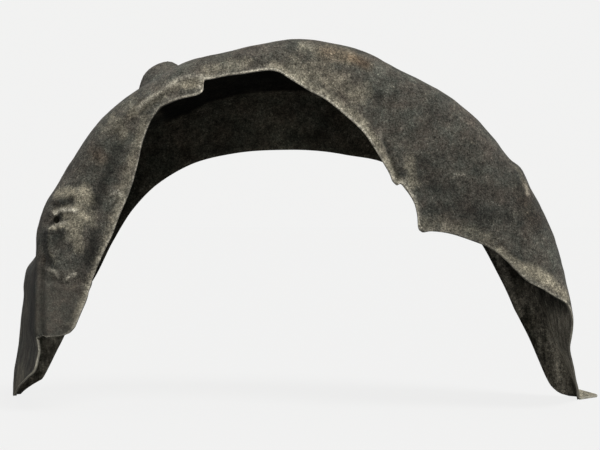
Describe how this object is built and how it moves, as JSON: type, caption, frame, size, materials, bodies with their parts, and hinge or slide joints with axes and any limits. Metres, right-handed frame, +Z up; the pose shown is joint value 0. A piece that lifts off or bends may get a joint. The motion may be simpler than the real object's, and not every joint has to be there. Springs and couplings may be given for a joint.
{
  "type": "wheel arch liner",
  "caption": "Moulded felt wheel arch liner: an open curved shell with an inboard flank, a rounded shoulder, a tread and a turned outboard lip, fixed to the body over a road wheel.",
  "frame": {"origin": "middle of the part's length and depth, level with the lowest point of its feet", "axes": "+X towards the rear foot with its out-turned tab, +Y from the inboard flank to the outboard lip, +Z up towards the crown of the arch"},
  "size_m": [0.8561, 0.24, 0.5039],
  "materials": {
    "felt": "worn dark needle felt, dusty and stained"
  },
  "bodies": {
    "root": {"liner": "felt"}
  },
  "joints": []
}
